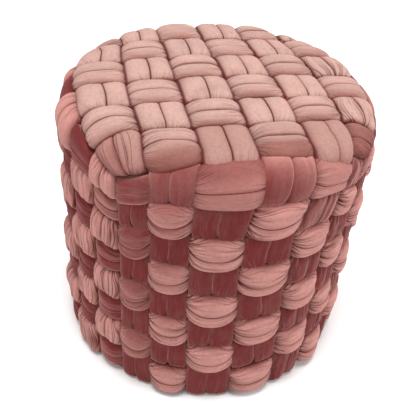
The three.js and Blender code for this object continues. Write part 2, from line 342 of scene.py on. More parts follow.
# Hoops
HOOP = TOP_CROSSWISE | {
    "crest": (6, 20.5, -1.5),
    "line": (0, 17.3, -3),
    "edge": (1, 5, -5.5),
    "width": (0.8, 1.13, 0.7),
    "rise": (-0.13, 0, 0),
    "past": (0.07, 0.07),
    "square": 2.5,
    "shift": 0.22,
    "start_creases": (6, 2.8),
    "end_creases": (3, 1.6),
    "gather": (0.45, 1, 0.8, 0.35),
    "light": 0,
    "squarely": 0,
    "deep": (0, 0),
}
LEFT_HOOP = HOOP | {
    "crest": (5, 16.5, -1.5),
    "line": (-1, 13.5, -3),
    "width": (0.85, 1.0, 0.7),
    "rise": (0, 0, 0),
    "shift": 0.15,
    "start_creases": (2, 1.5),
    "gather": (0.6, 0.4, 0.4, 0.4),
}
RIM_HOOP = HOOP | {
    "crest": (7, 16, -1.5),
    "line": (3, 14.7, -3),
    "width": (0.9, 0.98, 0.8),
    "rise": (0.04, 0.06, 0),
    "past": (0.1, 0.1),
    "square": 6,
    "dome": 0.3,
    "shift": 0.05,
    "start_creases": (4, 1.0),
    "end_creases": (2, 0.6),
    "gather": (0.5, 0.6, 0.4, 0.3),
    "squarely": 0.3,
    "deep": (0.2, -0.15),
}
CORNER_HOOP = RIM_HOOP | {"deep": (-0.12, 0)}
MIDDLE_RIM_HOOP = RIM_HOOP | {"deep": (0.3, -0.4)}

# The lowest hoop is narrower than the others. These values take the place of the style's.
FOOT_HOOP = {"width": (0.65, 0.86, 0.6), "rise": (-0.1, -0.02, 0)}

# Styles of the strips down the side, column by column: from the second hoop down, and
# through the first hoop
STRIP_STYLES = [(FRONT_STRIP, PALE_RIM_STRIP)] * 2 + [(FRONT_STRIP, DEEP_RIM_STRIP)] * 2
STRIP_STYLES += [(RIGHT_STRIP, RIGHT_STRIP)] * 8
STRIP_STYLES += [(FRONT_STRIP, PALE_RIM_STRIP)] * 6 + [(LEFT_STRIP, LEFT_RIM_STRIP)] * 6

# The section of a strip, and how its height changes along and across. The powers are those
# of a channel's soft dome and of its steep side.
MEASURES = ("crest", "line", "edge", "bottom", "width", "rise")
CHANNEL_FULLNESS = 3
INNER_DOME = 0.6
DOME_POWER = 2.2
STEEP_POWER = 24
PLUMP_END = 0.6
UNDER_SQUARE = 3
CHANNEL_POINTS = 26
BOTTOM_POINTS = 4
FINE_STEPS = 1001
OVER_ROWS = 30
UNDER_ROWS = 4
RESTS_AT = 0.3 * MM


def section_grid():
    """Section of a strip as a loop of points: its place across from -1 to 1, and how far it
    rises from the edge or sewn line (0) to the crest (1), or falls to the underside (-1).
    Each channel is half a superellipse, with points at equal steps of its length, and the
    underside is a flat one."""
    turn = np.linspace(0, np.pi, FINE_STEPS)
    reach = np.abs(np.cos(turn)) ** (2 / CHANNEL_FULLNESS) * -np.sign(np.cos(turn))
    rise = np.abs(np.sin(turn)) ** (2 / CHANNEL_FULLNESS)
    length = np.cumsum(np.hypot(np.diff(reach, prepend=-1), np.diff(rise, prepend=0)))
    step = np.linspace(0, length[-1], CHANNEL_POINTS + 1)
    reach, rise = np.interp(step, length, reach), np.interp(step, length, rise)
    under_turn = np.linspace(0, np.pi, BOTTOM_POINTS + 2)[1:-1]
    across = np.concatenate([(reach - 1) / 2, (reach[1:] + 1) / 2, np.cos(under_turn)])
    lift = np.concatenate([rise, rise[1:], -np.sin(under_turn) ** 0.5])
    return across, lift


ACROSS, LIFT = section_grid()
SEWN_LINE = CHANNEL_POINTS

# 0 on the crest of a channel and 1 at its sewn line and at its edge
CHANNEL_SIDE = np.where(LIFT < 0, 1, np.abs(2 * np.abs(ACROSS) - 1))

# 1 where the cloth is free to dent, 0 at the sewn line, at the edges and underneath
SOFTNESS = (LIFT > 0) * (1 - CHANNEL_SIDE**6)

# How far the sewn line, the crests and the two channels vary from cell to cell
LINE_WANDERS = 0.04
BOW_WAVES = 2.5
CREST_VARIES = (-0.08, 0.06)
CHANNEL_VARIES = 0.05

# Creases, in parts of half a strip across and of a cell along, with the lowest and highest
# share of the style's reach and depth
CREASE_SPREAD = 0.9
CREASE_STARTS = (0.1, 0.9)
CREASE_LEAN = 0.3
CREASE_LEAN_POWER = 1.3
CREASE_WIDTHS = (0.05, 0.1)
CREASE_REACHES = (0.5, 1.5)
CREASE_DEPTHS = (0.4, 1.3)
CREASE_FADE_POWER = 1.5
CREASE_FADES_IN = (0, 1 / 12)
LIP_HEIGHT = 0.4
LIP_WIDTH = 2.3
START_REACH = 0.35
END_REACH = 0.3
PLEAT_REACH = 1.1

# Dents and gathers. The waves are in radians over a cell, a notch opens between two places
# along it, and its width there is in parts of half a strip.
WAVE_DEPTH = 0.7 * MM
WAVE_COUNT = 4
WAVES_ALONG = 9
WAVES_ACROSS = 5
NOTCH_OPENS = (0.54, 0.99)
NOTCH_WIDTHS = (0.03, 0.16)
GATHER_WAVES = np.array([7, 10, 13])
GATHER_WIDTH = 0.4
GATHER_BEND = 0.05
GATHER_POWER = 1.5
GATHER_DEPTH = 0.8 * MM

# Towards the place where the photograph was taken: pile leaning this way looks deep. The
# photograph shows the wall as far round as SHOWN_ANGLE.
# Pile that leans this way is painted deep, as painted shade, and pile that leans away is painted
# pale, as painted sheen.
VIEW_DIRECTION = np.array([-0.21, -0.77, 0.60])
VIEW_ANGLE = math.atan2(VIEW_DIRECTION[1], VIEW_DIRECTION[0])
SHOWN_ANGLE = math.radians(80)

# A strip runs up or down where it rises or falls by more than TILTED over a cell. How it
# runs at a place is taken over a short step, and weighed against the whole cell.
TILTED = 20 * MM
SHORT_STEP = 0.01
WHOLE_RUN_SHARE = 0.75

# Keeps a normal without length from being divided by zero
NO_LENGTH = 1e-12


def measures_along(z, style, over):
    """Each measure of the strip along a cell, z from -1 to 1: the plump value in the middle
    where it passes over, falling steeply to the turn at both ends, or the flat value where
    it passes under."""
    if over:
        share = (1 - np.abs(z) ** style["square"]) ** PLUMP_END
    else:
        share = 1 - np.abs(z) ** UNDER_SQUARE
    turn, middle = 0, 1 if over else 2
    return {
        name: style[name][turn] + (style[name][middle] - style[name][turn]) * share
        for name in MEASURES
    }


def section_along(measure, z, style, over, draw):
    """Places across a strip and heights from the middle of the weave, row by row. A channel
    rises from its sewn line or edge to its crest as a dome and a steep side, mixed by the
    style. The sewn line wanders, and both channels and the crest vary a little."""
    amount = (1 - z**2) * over
    bow = style["bow"] * draw.uniform(-1, 1) * np.sin(BOW_WAVES * z + draw.uniform(0, 6))
    shift = (style["shift"] + draw.uniform(-LINE_WANDERS, LINE_WANDERS) + bow) * amount
    crest = measure["crest"] * MM * (1 + draw.uniform(*CREST_VARIES) * amount)
    channel = 1 + draw.uniform(-CHANNEL_VARIES, CHANNEL_VARIES) * amount * np.sign(ACROSS)

    inner = np.abs(ACROSS) < 0.5
    base = np.where(inner, measure["line"], measure["edge"]) * MM
    dome = style["dome"] * np.where(inner, INNER_DOME, 1)
    lift = 1 - dome * CHANNEL_SIDE**DOME_POWER - (1 - dome) * CHANNEL_SIDE**STEEP_POWER
    lift = np.clip(lift, 0, 1) ** (1 + style["pinch"] * z**4 * over)
    height = base + (crest * channel - base) * lift
    edge, bottom = measure["edge"] * MM, measure["bottom"] * MM
    height = np.where(LIFT < 0, edge + (edge - bottom) * LIFT, height)
    return ACROSS + shift * (1 - ACROSS**2), height


def creases(along, count, depth, reach, draw):
    """Creases that start side by side at one end of a cell and fan out: each is a narrow
    bell-shaped valley between low lips that widens, leans and fades after its own reach."""
    start = np.arange(count) + draw.uniform(*CREASE_STARTS, count)
    start = start * 2 * CREASE_SPREAD / max(count, 1) - CREASE_SPREAD
    lean = draw.uniform(-CREASE_LEAN, CREASE_LEAN, count) + CREASE_LEAN * start
    width = draw.uniform(*CREASE_WIDTHS, count)
    reach = reach * draw.uniform(*CREASE_REACHES, count)
    depth = depth * MM * draw.uniform(*CREASE_DEPTHS, count)
    along = along[..., None]
    middle = start + lean * along**CREASE_LEAN_POWER
    apart = (ACROSS[None, :, None] - middle) / (width * (1 + along))
    valley = np.exp(-(apart**2)) - LIP_HEIGHT * np.exp(-((apart / LIP_WIDTH) ** 2))
    fade = np.exp(-((along / reach) ** CREASE_FADE_POWER)) * ramp(along, *CREASE_FADES_IN)
    return (valley * depth * fade).sum(-1)


def waves(along, draw):
    """Soft dents and swellings of the padding: a few slow sine waves in random directions."""
    way = draw.uniform(-1, 1, (2, WAVE_COUNT)) * [[WAVES_ALONG], [WAVES_ACROSS]]
    phase = draw.uniform(0, 2 * math.pi, WAVE_COUNT)
    total = np.sin(along[..., None] * way[0] + ACROSS[None, :, None] * way[1] + phase)
    return total.mean(-1) * WAVE_DEPTH


def notches(along, style):
    """The wedge into which a sewn line opens towards the end of a cell, from 0 to 1: a
    bell-shaped valley that widens and deepens over the last part of the run."""
    opened = ramp(along, *NOTCH_OPENS)
    narrow, wide = NOTCH_WIDTHS
    valley = np.exp(-((ACROSS / (narrow + (wide - narrow) * opened)) ** 2))
    return valley * opened * (style["notch"] > 0)


def dents(along, style, over, draw):
    """How far the cloth lies below the plump shape of one cell: waves, creases from both
    ends and pleats along the whole run, where the cloth is soft, and the notch."""
    if not over:
        return np.zeros((UNDER_ROWS, len(ACROSS)))
    total = waves(along, draw)
    total = total + creases(along, *style["start_creases"], START_REACH, draw)
    total = total + creases(1 - along, *style["end_creases"], END_REACH, draw)
    total = total + creases(along, *style["pleats"], PLEAT_REACH, draw)
    return total * SOFTNESS + style["notch"] * MM * notches(along, style)


def gather_strength(along, style, over):
    """How strongly the cloth is gathered, from 0 to 1: two bell curves that die away from
    the ends of the cell."""
    _, start, end, reach = style["gather"]
    strength = start * np.exp(-((along / reach) ** 2))
    strength = strength + end * np.exp(-(((1 - along) / reach) ** 2))
    return np.clip(strength * over, 0, 1)


def gather_lines(fanned, along, block):
    """Valleys of the gathers, from 0 to 1: narrow lines where a sum of waves over the
    fanned place across crosses zero. The block's own number shifts the waves."""
    bent = fanned + GATHER_BEND * np.sin(2 * along + block)
    total = np.sin(bent[..., None] * GATHER_WAVES + block * GATHER_WAVES).mean(-1)
    return np.clip(1 - np.abs(total) / GATHER_WIDTH, 0, 1) ** GATHER_POWER


def viewer(point, normal):
    """Direction to whoever looks at a place. On the top, and on the wall as far round as
    the photograph shows it, that is the photograph's own. Past that it turns round with
    the wall, until it looks squarely at the wall on the far side."""
    angle = np.arctan2(point[..., 1], point[..., 0])
    off = wrapped(VIEW_ANGLE - angle)
    hidden = ramp(np.abs(off), SHOWN_ANGLE, math.pi)
    turned = angle + np.clip(off, -SHOWN_ANGLE, SHOWN_ANGLE) * (1 - hidden)
    level = math.hypot(VIEW_DIRECTION[0], VIEW_DIRECTION[1])
    height = np.full_like(turned, VIEW_DIRECTION[2])
    round_wall = np.stack([level * np.cos(turned), level * np.sin(turned), height], -1)
    wall = smooth(1 - normal[..., 2])[..., None]
    view = VIEW_DIRECTION + (round_wall - VIEW_DIRECTION) * wall
    return view / np.linalg.norm(view, axis=-1, keepdims=True)


def run_between(place, start, end):
    """How far a strip runs from one place along a cell to another, as a vector."""
    ends, _ = surface(*place(np.array([0.5, 0.5]), np.array([start, end])))
    return ends[1] - ends[0]


def run_direction(place):
    """Direction in which a strip runs through a cell. Where it runs up or down only the
    lower part counts, because the upper part may still turn over the rim."""
    run = run_between(place, 0.1, 0.9)
    if run[2] < -TILTED:
        run = run_between(place, 0.6, 1.0)
    elif run[2] > TILTED:
        run = run_between(place, 0.0, 0.4)
    return run / np.linalg.norm(run)


def run_towards(place, along, view):
    """How far the run of a strip points to the viewer, from -1 to 1: mostly that of the
    whole cell, and partly that of the place itself."""
    whole = run_direction(place) @ view[len(view) // 2, SEWN_LINE]
    middle = np.full_like(along, 0.5)
    ahead, _ = surface(*place(middle, along + SHORT_STEP))
    behind, _ = surface(*place(middle, along - SHORT_STEP))
    step = ahead - behind
    local = (step * view).sum(-1) / np.linalg.norm(step, axis=-1)
    return WHOLE_RUN_SHARE * whole + (1 - WHOLE_RUN_SHARE) * local


def cell_surface(cell, draw):
    """One strip over one cell, as grids of rows along by points across: its points before
    they are dented, the depth of the dents, the direction to the viewer and how far the
    run points that way, where the point lies between the crest and the seams and between
    the middle and the ends, the style's tones, how strongly the cloth is gathered, and a
    place on the cloth that fans out from the ends."""
    place, style, over = cell
    before, after = np.array(style["past"]) * (1 if over else -1)
    rows = OVER_ROWS if over else UNDER_ROWS
    part_along = np.arange(rows)[:, None] / rows
    along = part_along * (1 + before + after) - before
    z = 2 * part_along - 1
    measure = measures_along(z, style, over)
    across, height = section_along(measure, z, style, over, draw)
    part = 0.5 + 0.5 * across * measure["width"] + measure["rise"]
    point, normal = surface(*place(part, np.broadcast_to(along, part.shape)))
    view = viewer(point, normal)

    fan = style["gather"][0]
    fanned = ACROSS * (0.5 + fan) / (2 * part_along * (1 - part_along) + fan)
    gather = gather_strength(part_along, style, over)
    block = draw.uniform(0, 90)
    gather_dent = GATHER_DEPTH * gather * gather_lines(fanned, part_along, block) * SOFTNESS
    deep, lean = style["deep"]
    one_edge = smooth(1.5 * ACROSS * np.sign(lean))
    grids = {
        "dent": dents(part_along, style, over, draw) + gather_dent,
        "towards": run_towards(place, along, view),
        "side": CHANNEL_SIDE,
        "outer": np.abs(ACROSS) > 0.5,
        "end": np.abs(z),
        "notch": notches(part_along, style) * over,
        # up, squarely and deep feed the painted tone of the pile: up paints the top paler as
        # painted light from above, and squarely and deep add painted shade
        "up": smooth(normal[..., 2]) * style["light"],
        "squarely": style["squarely"],
        "deep": deep + np.abs(lean) * one_edge,
        "gather": gather,
    }
    grids = {key: np.broadcast_to(value, part.shape) for key, value in grids.items()}
    cloth = np.stack(np.broadcast_arrays(fanned, part_along, block, part)[:3], -1)
    return grids | {"point": point + normal * height[..., None], "view": view, "cloth": cloth}


def grid_normals(point, closed):
    """Unit normals of a grid that is closed across, from its central differences. Where
    these vanish the normal is about zero."""
    around = np.roll(point, -1, 1) - np.roll(point, 1, 1)
    if closed:
        along = np.roll(point, -1, 0) - np.roll(point, 1, 0)
    else:
        along = np.gradient(point, axis=0)
    normal = np.cross(around, along)
    return normal / np.maximum(np.linalg.norm(normal, axis=-1, keepdims=True), NO_LENGTH)


# The painted tone of the pile, from pale painted sheen (0) to deep painted shade (1): the
# shares of what it depends on, and where their sum turns it from pale to deep. The top's
# domes count as partly levelled.
PILE_SHARE = 1.3
FACING_SHARE = 0.6
SQUARE_SHARE = 2.5
SQUARE_FROM = 0.8
DEEPENS = (0.55, 1.25)
USUAL_FACING = 0.75
TOP_FACING = 0.6
TOP_LEVELLING = 0.3

# Where shade begins and is full: from the crest of a channel (0) to its sewn line or edge
# (1), from the middle of a cell (0) to its ends (1), and by the depth of a dent. A sewn
# line is shaded over a part of the channel of 1 / LINE_SHARPNESS.
EDGE_SHADED = (0.351, 1.001)
END_SHADED = (0.6, 1)
EDGE_OUTLINED = (0.8, 0.925)
END_OUTLINED = (0.825, 0.95)
DENT_SHADED = (0.4 * MM, 1.4 * MM)
LINE_SHARPNESS = 20
TOP_LINE_SHARPNESS = 11

# How dark each painted shade is, how much of it is left out in deep blocks, and how much
# paler deep blocks are painted in their seams and shaded edges, as painted sheen
EDGE_SHADE = 0.6
INNER_SHADE = 0.4
END_SHADE = 0.5
OUTLINE_SHADE = 0.15
TOP_OUTLINE_SHADE = 1.05
LINE_SHADE = 0.6
DENT_SHADE = 0.5
NOTCH_SHADE = 0.8
FOLD_SHADE_STRENGTH = 1.2
LEFT_OUT_WHEN_DEEP = 0.9
PAINTED_LINE_SHEEN = 0.8
PAINTED_EDGE_SHEEN = 0.25
DARKEST_FOLD_SHADE = 0.97


def painted_tone_of_pile(towards, facing, squarely):
    """The painted tone of the pile, 0 for pale painted sheen to 1 for deep painted shade: it
    grows as the pile leans to the viewer, and as the cloth itself faces the viewer, on the
    rim most of all where it does so squarely."""
    more = SQUARE_SHARE * squarely * np.clip(facing - SQUARE_FROM, 0, 1)
    start, end = DEEPENS
    return smooth((PILE_SHARE * towards + FACING_SHARE * facing + more - start) / (end - start))


def cloth_values(joined, normal, pile):
    """What the velvet's colour depends on at each point, where pile is 1 or -1 as it leans
    along the run or against it. The tone is the painted tone of the pile, pale painted sheen
    to deep painted shade, plus the style's own painted depth. Seams and shaded edges of deep
    blocks are painted paler there, as painted sheen. The fold value is painted shade: soft
    shade towards the edges and ends, a narrow outline between blocks that is darkest on the
    top, the sewn line, creases and notches, and hardly any of it in deep blocks."""
    up, side, end = joined["up"], joined["side"], joined["end"]
    towards = joined["towards"] * pile
    facing = (normal * joined["view"]).sum(-1)
    facing = facing + (TOP_FACING - facing) * TOP_LEVELLING * up
    squarely = joined["squarely"] * (1 - TOP_LEVELLING * up)
    block_painted_tone = painted_tone_of_pile(towards, USUAL_FACING, 0)

    shade = EDGE_SHADE * ramp(side, *EDGE_SHADED) ** 2
    shade = shade * (INNER_SHADE + (1 - INNER_SHADE) * joined["outer"])
    shade = shade + END_SHADE * ramp(end, *END_SHADED) ** 2
    outline = np.maximum(ramp(side, *EDGE_OUTLINED) * joined["outer"], ramp(end, *END_OUTLINED))
    shade = shade + outline * (OUTLINE_SHADE + (TOP_OUTLINE_SHADE - OUTLINE_SHADE) * up)
    sharpness = LINE_SHARPNESS + (TOP_LINE_SHARPNESS - LINE_SHARPNESS) * up
    line = np.clip(1 - sharpness * (1 - side), 0, 1)
    crease = ramp(joined["dent"], *DENT_SHADED)

    tone = painted_tone_of_pile(towards, facing, squarely) + joined["deep"]
    # Seams and shaded edges of deep blocks are painted paler, as painted sheen
    tone = tone - (PAINTED_LINE_SHEEN * line + PAINTED_EDGE_SHEEN * shade) * block_painted_tone
    painted_fold_shade = FOLD_SHADE_STRENGTH * (shade + LINE_SHADE * line + DENT_SHADE * crease)
    painted_fold_shade = painted_fold_shade * (1 - LEFT_OUT_WHEN_DEEP * block_painted_tone) + NOTCH_SHADE * joined["notch"]
    painted_fold_shade = np.clip(painted_fold_shade, 0, DARKEST_FOLD_SHADE)
    return {"painted_pile_tone": tone, "painted_fold_shade": painted_fold_shade, "gather": joined["gather"], "up": up}


def add_mesh(name, points, faces):
    """A smooth object at the origin with the given vertices and faces."""
    mesh = bpy.data.meshes.new(name)
    mesh.from_pydata(points.reshape(-1, 3).tolist(), [], faces)
    mesh.validate()
    mesh.shade_smooth()
    piece = bpy.data.objects.new(name, mesh)
    bpy.context.scene.collection.objects.link(piece)
    return piece


def grid_faces(rows, points, closed):
    """Quads of a grid that is closed across, and along too if closed. An open one gets a
    fan at each end, to two more vertices."""
    row = np.arange(rows if closed else rows - 1)[:, None]
    point = np.arange(points)[None, :]
    next_row, next_point = (row + 1) % rows, (point + 1) % points
    corners = [
        row * points + point,
        row * points + next_point,
        next_row * points + next_point,
        next_row * points + point,
    ]
    faces = np.stack(corners, -1).reshape(-1, 4).tolist()
    if not closed:
        first, last = rows * points, rows * points + 1
        ring = np.arange(points)
        after = (ring + 1) % points
        faces += np.stack([after, ring, np.full(points, first)], -1).tolist()
        start = (rows - 1) * points
        faces += np.stack([start + ring, start + after, np.full(points, last)], -1).tolist()
    return faces


def add_strip(name, cells, closed, seed):
    """A whole strip: the grids of its cells one after the other, pushed in along their own
    normals by the dents, and closed into a loop or at both ends."""
    draw = np.random.default_rng(seed)
    parts = [cell_surface(cell, draw) for cell in cells]
    joined = {key: np.concatenate([part[key] for part in parts]) for key in parts[0]}
    point = joined["point"]
    point = point - grid_normals(point, closed) * joined["dent"][..., None]
    point[..., 2] = np.maximum(point[..., 2], RESTS_AT)
    values = cloth_values(joined, grid_normals(point, closed), 1 if closed else -1)
    values = {key: value.ravel() for key, value in values.items()}
    rows, points = point.shape[:2]
    vertices = point.reshape(-1, 3)
    cloth = joined["cloth"].reshape(-1, 3)
    if not closed:
        ends = np.stack([point[0].mean(0), point[-1].mean(0)])
        vertices = np.concatenate([vertices, ends])
        values = {key: np.append(value, [0, 0]) for key, value in values.items()}
        cloth = np.concatenate([cloth, cloth[[0, -1]]])

    piece = add_mesh(name + "_velvet", vertices, grid_faces(rows, points, closed))
    for key, value in values.items():
        attribute = piece.data.attributes.new(key, "FLOAT", "POINT")
        attribute.data.foreach_set("value", value.astype(np.float32))
    attribute = piece.data.attributes.new("cloth", "FLOAT_VECTOR", "POINT")
    attribute.data.foreach_set("vector", cloth.astype(np.float32).ravel())
    piece.data.materials.append(velvet)
    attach(piece, "root")
    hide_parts(name)
    return piece


def upward(across, along):
    """How far to the right and up in a cell a place across and along a strip lies, for a
    strip that runs up."""
    return across, along


def downward(across, along):
    """The same for a strip that runs down, or forward over the top."""
    return 1 - across, 1 - along


def rightward(across, along):
    """The same for a strip that runs to the right."""
    return along, 1 - across


# Where the random draws of each kind of strip start
LENGTHWISE_SEED = 100
CROSSWISE_SEED = 200
HOOP_SEED = 300


def hoop_is_over(column, hoop):
    """A hoop lies over every second column, and neighbouring hoops take turns."""
    return (column + hoop) % 2 == 1


def side_cell(column, hoop, turned, over, style):
    """One cell of the side for a strip that runs up, down or round it: its place, its
    style, and whether it passes over. turned maps the parts across and along the strip to
    the parts across the column and up the hoop."""

    def place(across, along):
        right, up = turned(across, along)
        return side_place(column + right, hoop - up)

    return place, style, over


def top_style(row, column, crosswise):
    """Style of a strip on the top, by its cell: the corners, two cells on the right and the
    front row have their own."""
    last = STRIPS - 1
    if (row, column) == (0, 0):
        return TOP_LEFT_CORNER
    if (row, column) == (0, last):
        return TOP_RIGHT_CORNER
    if row in (0, last) and column in (0, last) or column == last and row in (1, 3):
        return TOP_CORNER
    if row == 0:
        return TOP_EDGE if crosswise else TOP_FRONT
    return TOP_CROSSWISE if crosswise else TOP_LENGTHWISE


def top_cell(row, column, turned, over):
    """One cell of the top for a strip that runs forward or to the right."""

    def place(across, along):
        right, back = turned(across, along)
        return top_place(column - HALF + right, row - HALF + back)

    return place, top_style(row, column, turned is rightward), over


def side_run(column, turned):
    """Cells that a strip crosses on one side, rim first unless it runs upward. In the lowest
    cell it is squarer and doesn't reach past the foot."""
    style, rim_style = STRIP_STYLES[column]
    before, after = style["past"]
    past = (0, after) if turned is upward else (before, 0)
    foot_style = style | {"past": past, "square": 2 * style["square"]}
    styles = [rim_style] + [style] * (HOOPS - 2) + [foot_style]
    run = [
        side_cell(column, hoop, turned, not hoop_is_over(column, hoop), styles[hoop - 1])
        for hoop in range(1, HOOPS + 1)
    ]
    return run[::-1] if turned is upward else run


def add_lengthwise_strip(column):
    """Strip from the foot of the back over the top to the foot of the front."""
    top = [
        top_cell(row, column, downward, (row + column) % 2 == 0)
        for row in reversed(range(STRIPS))
    ]
    cells = side_run(3 * STRIPS - 1 - column, upward) + top + side_run(column, downward)
    return add_strip(f"lengthwise_strip_{column + 1}", cells, False, LENGTHWISE_SEED + column)


def add_crosswise_strip(row):
    """Strip from the foot of the left side over the top to the foot of the right."""
    top = [
        top_cell(row, column, rightward, (row + column) % 2 == 1) for column in range(STRIPS)
    ]
    cells = side_run(COLUMNS - 1 - row, upward) + top + side_run(STRIPS + row, downward)
    return add_strip(f"crosswise_strip_{row + 1}", cells, False, CROSSWISE_SEED + row)


def add_hoop(hoop):
    """Hoop that runs counterclockwise, seen from above."""
    styles = [HOOP] * 3 * STRIPS + [LEFT_HOOP] * STRIPS
    if hoop == 1:
        styles = [CORNER_HOOP] * 2 + [MIDDLE_RIM_HOOP] * 2 + [RIM_HOOP] * (COLUMNS - 4)
    if hoop == HOOPS:
        styles = [style | FOOT_HOOP for style in styles]
    cells = [
        side_cell(column, hoop, rightward, hoop_is_over(column, hoop), styles[column])
        for column in range(COLUMNS)
    ]
    return add_strip(f"hoop_{hoop}", cells, True, HOOP_SEED + hoop)


# The filled body inside the weave: how far inside, where its rows begin and end, and how
# many there are on each part
BODY_INSET = 9 * MM
BODY_ROUNDING = 7 * MM
BODY_MIDDLE = 2 * MM
BODY_WALL_TOP = WALL_TOP - 5 * MM
BODY_WALL_FOOT = 8 * MM
BODY_POINTS = 192
BODY_TOP_ROWS = 24
BODY_RIM_ROWS = 8
BODY_WALL_ROWS = 40
BODY_FOOT_ROWS = 8
BODY_BASE_ROWS = 24


def add_base():
    """The filled body: the middle of the weave moved inwards, down to a rounded edge and
    the flat base cloth."""
    around = np.linspace(0, 2 * np.pi, BODY_POINTS, endpoint=False)[None, :]
    ways = np.concatenate([
        np.linspace(BODY_MIDDLE, FLAT_RADIUS, BODY_TOP_ROWS),
        FLAT_RADIUS + RIM_WAY * np.linspace(0.1, 1, BODY_RIM_ROWS),
        way_at_height(np.linspace(BODY_WALL_TOP, BODY_WALL_FOOT, BODY_WALL_ROWS)),
    ])[:, None]
    point, normal = surface(around, ways)
    point = point - normal * BODY_INSET
    foot = point[-1]
    turn = np.linspace(0.1, 1, BODY_FOOT_ROWS)[:, None, None] * math.pi / 2
    outward = foot * [1, 1, 0] / np.linalg.norm(foot[:, :2], axis=-1, keepdims=True)
    inward = outward * (np.cos(turn) - 1)
    down = np.array([0, 0, -1]) * np.sin(turn)
    curl = foot + BODY_ROUNDING * (inward + down)
    shrink = np.linspace(0.95, 0.02, BODY_BASE_ROWS)[:, None, None]
    flat = curl[-1] * np.concatenate([shrink, shrink, np.ones_like(shrink)], -1)
    point = np.concatenate([point, curl, flat])
    rows, points = point.shape[:2]
    ends = np.stack([point[0].mean(0), point[-1].mean(0)])
    faces = [face[::-1] for face in grid_faces(rows, points, False)]
    piece = add_mesh("filled_body_cloth", np.concatenate([point.reshape(-1, 3), ends]), faces)
    piece.data.materials.append(base_cloth)
    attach(piece, "root")
    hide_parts("filled_body")
    return piece


class Socket:
    """An output of a shader node. Sums with it add Math nodes to its tree."""

    def __init__(self, tree, output=None):
        self.tree = tree
        self.output = output

    def node(self, kind, inputs, result=0, **settings):
        """Adds a node with its settings, gives its inputs their values or links, and
        returns one of its outputs."""
        made = self.tree.nodes.new("ShaderNode" + kind)
        for name, value in settings.items():
            setattr(made, name, value)
        for key, value in inputs.items():
            if isinstance(value, Socket):
                self.tree.links.new(value.output, made.inputs[key])
            else:
                made.inputs[key].default_value = value
        return Socket(self.tree, made.outputs[result])

    def maths(self, operation, *values):
        """One Math node on sockets and numbers."""
        return self.node("Math", dict(enumerate(values)), operation=operation)

    def __add__(self, other):
        return self.maths("ADD", self, other)

    def __mul__(self, other):
        return self.maths("MULTIPLY", self, other)

    def __sub__(self, other):
        return self.maths("SUBTRACT", self, other)

    def __rsub__(self, other):
        return self.maths("SUBTRACT", other, self)

    def __pow__(self, other):
        return self.maths("POWER", self, other)

    def __rpow__(self, other):
        return self.maths("POWER", other, self)

    __radd__ = __add__
    __rmul__ = __mul__

    def size(self):
        """The number without its sign."""
        return self.maths("ABSOLUTE", self)

    def clipped(self):
        """The number, kept between 0 and 1."""
        return self.maths("MINIMUM", self.maths("MAXIMUM", self, 0), 1)

    def mixed(self, first, second):
        """A colour between two others, by the share that this socket gives."""
        inputs = {0: self, 6: first, 7: second}
        return self.node("Mix", inputs, 2, data_type="RGBA")

    def scaled(self, factor):
        """A colour or vector times a number, or times a vector."""
        if isinstance(factor, tuple):
            return self.node("VectorMath", {0: self, 1: factor}, operation="MULTIPLY")
        return self.node("VectorMath", {0: self, "Scale": factor}, operation="SCALE")

    def noise(self, scale, detail):
        """Noise over the place that this socket gives, from about -0.5 to 0.5."""
        return self.node("TexNoise", {"Vector": self, "Scale": scale, "Detail": detail}) - 0.5


# Colours. The velvet's pale and deep colours are painted sheen and painted shade of one
# velvet, the top's are painted paler as painted light from above, and the fold colour is
# painted shade.
PILE_SHEEN_VELVET = (0.49, 0.229, 0.2, 1)
TOP_LIT_SHEEN_VELVET = (0.455, 0.28, 0.241, 1)
PILE_SHADE_VELVET = (0.15, 0.023, 0.023, 1)
TOP_LIT_SHADE_VELVET = (0.25, 0.104, 0.086, 1)
FOLD_SHADE_VELVET = (0.13, 0.02, 0.017, 1)
SHEEN_TINT = (1, 0.82, 0.78, 1)
BASE_CLOTH = (0.16, 0.07, 0.065, 1)
FLOOR = (0.9, 0.9, 0.9, 1)
WHITE = (1, 1, 1, 1)

# Waves a metre of the patterns that lie over the whole pouf
CLOUDS = 45
GRAIN = 300
FIBRES = 900

# Waves of the patterns that follow the cloth: across, along, and from block to block
BLOCK_WAVES = (0, 0, 7.3)
BRUSHED_WAVES = (6, 2.5, 7.3)
CREASE_WAVES = (4.5, 0.5, 7.3)

# How much the patterns change the tone of the pile, and how much the lightness
CLOUD_TONE = 0.3
BRUSHED_TONE = 0.25
BLOCK_TONE = 0.2
CLOUD_LIGHTNESS = 0.35
BRUSHED_LIGHTNESS = 0.25
BLOCK_LIGHTNESS = 0.15
GRAIN_LIGHTNESS = 0.34

# How sharp, narrow and strong the fine creases are, how dark their painted shade and how
# pale their painted sheen
CREASE_SHARPNESS = 20
CREASE_NARROWING = 1.5
CREASE_STRENGTH = 1.25
CREASE_PAINTED_SHADE = 0.55
CREASE_PAINTED_SHEEN = 0.3

# Heights of the relief
BRUSHED_RELIEF = 0.4 * MM
GATHERED_RELIEF = 1 * MM
CREASE_RELIEF = 1.4 * MM
FIBRE_RELIEF = 0.2 * MM


def plain_material(name, colour):
    """A matt material of one colour."""
    material = bpy.data.materials.new(name)
    material.use_nodes = True
    shader = material.node_tree.nodes["Principled BSDF"]
    shader.inputs["Base Color"].default_value = colour
    shader.inputs["Roughness"].default_value = 0.9
    return material


